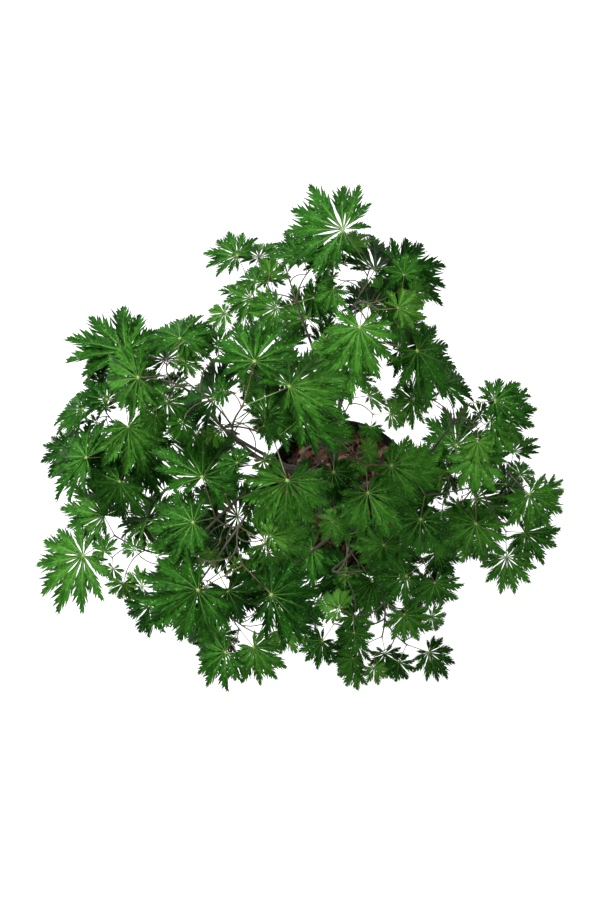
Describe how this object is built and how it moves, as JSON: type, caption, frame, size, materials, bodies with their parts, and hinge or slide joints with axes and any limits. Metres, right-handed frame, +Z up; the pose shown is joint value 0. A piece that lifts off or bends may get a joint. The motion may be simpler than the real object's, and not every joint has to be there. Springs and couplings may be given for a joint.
{
  "type": "potted full moon maple",
  "caption": "Young maple shrub with deeply cut fan leaves on low-forking boughs, standing in a round black nursery pot filled with bark-topped compost.",
  "frame": {"origin": "centre of the pot's flat underside", "axes": "+Z up along the pot's axis, +X to the right and +Y away from the front of the plant"},
  "size_m": [0.7365, 0.6617, 0.8297],
  "materials": {
    "pot": "black recycled plastic, slightly dusty",
    "soil": "damp compost under reddish-brown bark chips",
    "bark": "smooth young maple bark, grey-brown, green-tinged on the boughs",
    "foliage": "thin green leaves with pale ribs"
  },
  "bodies": {
    "root": {"bough_back": "bark", "bough_back_left": "bark", "bough_back_mid": "bark", "bough_back_near": "bark", "bough_front": "bark", "bough_front_left": "bark", "bough_front_mid": "bark", "bough_leader": "bark", "bough_left": "bark", "bough_left_back": "bark", "bough_left_front": "bark", "bough_low_back": "bark", "bough_low_front": "bark", "bough_low_left": "bark", "bough_low_right": "bark", "bough_middle": "bark", "bough_right": "bark", "bough_right_back": "bark", "bough_right_front": "bark", "bough_top": "bark", "bough_top_front": "bark", "foliage_back": "foliage", "foliage_back_left": "foliage", "foliage_back_mid": "foliage", "foliage_back_near": "foliage", "foliage_front": "foliage", "foliage_front_left": "foliage", "foliage_front_mid": "foliage", "foliage_left": "foliage", "foliage_left_back": "foliage", "foliage_left_front": "foliage", "foliage_low_back": "foliage", "foliage_low_front": "foliage", "foliage_low_left": "foliage", "foliage_low_right": "foliage", "foliage_middle": "foliage", "foliage_right": "foliage", "foliage_right_back": "foliage", "foliage_right_front": "foliage", "foliage_top": "foliage", "foliage_top_front": "foliage", "pot": "pot", "soil": "soil", "trunk": "bark"}
  },
  "joints": []
}
